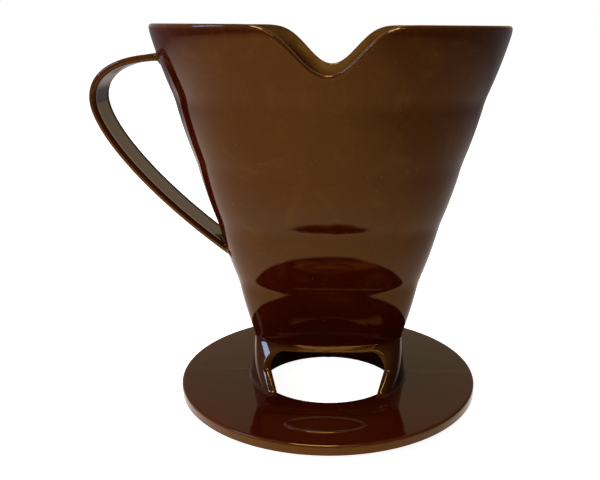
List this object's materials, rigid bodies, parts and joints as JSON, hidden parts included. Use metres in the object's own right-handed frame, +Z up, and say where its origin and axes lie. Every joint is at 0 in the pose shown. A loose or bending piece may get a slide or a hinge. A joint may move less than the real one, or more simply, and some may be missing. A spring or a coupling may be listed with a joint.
{
  "type": "pour over dripper",
  "caption": "Brown plastic pour-over coffee dripper: stepped oval cone with two notched lips, strap handle and windowed pedestal on a round base disc.",
  "frame": {"origin": "centre of the footprint of the whole dripper, on the surface that its locating collar stands on; the cone's axis is 11.4 mm to the +X side of it, because the handle reaches out to -X", "axes": "+Z up along the cone's axis, +X away from the handle across the oval's long side, +Y from the front notch to the back notch"},
  "size_m": [0.1553, 0.12, 0.1463],
  "materials": {
    "brown_plastic": "glossy, dark red-brown, slightly translucent at thin edges"
  },
  "bodies": {
    "root": {"base_disc": "brown_plastic", "locating_collar": "brown_plastic", "oval_pad": "brown_plastic", "left_leg": "brown_plastic", "right_leg": "brown_plastic", "front_lintel": "brown_plastic", "back_lintel": "brown_plastic", "drip_nozzle": "brown_plastic", "cone_floor": "brown_plastic", "bottom_band": "brown_plastic", "lower_band": "brown_plastic", "middle_band": "brown_plastic", "upper_band": "brown_plastic", "rim_band": "brown_plastic", "handle_strap": "brown_plastic"}
  },
  "joints": []
}
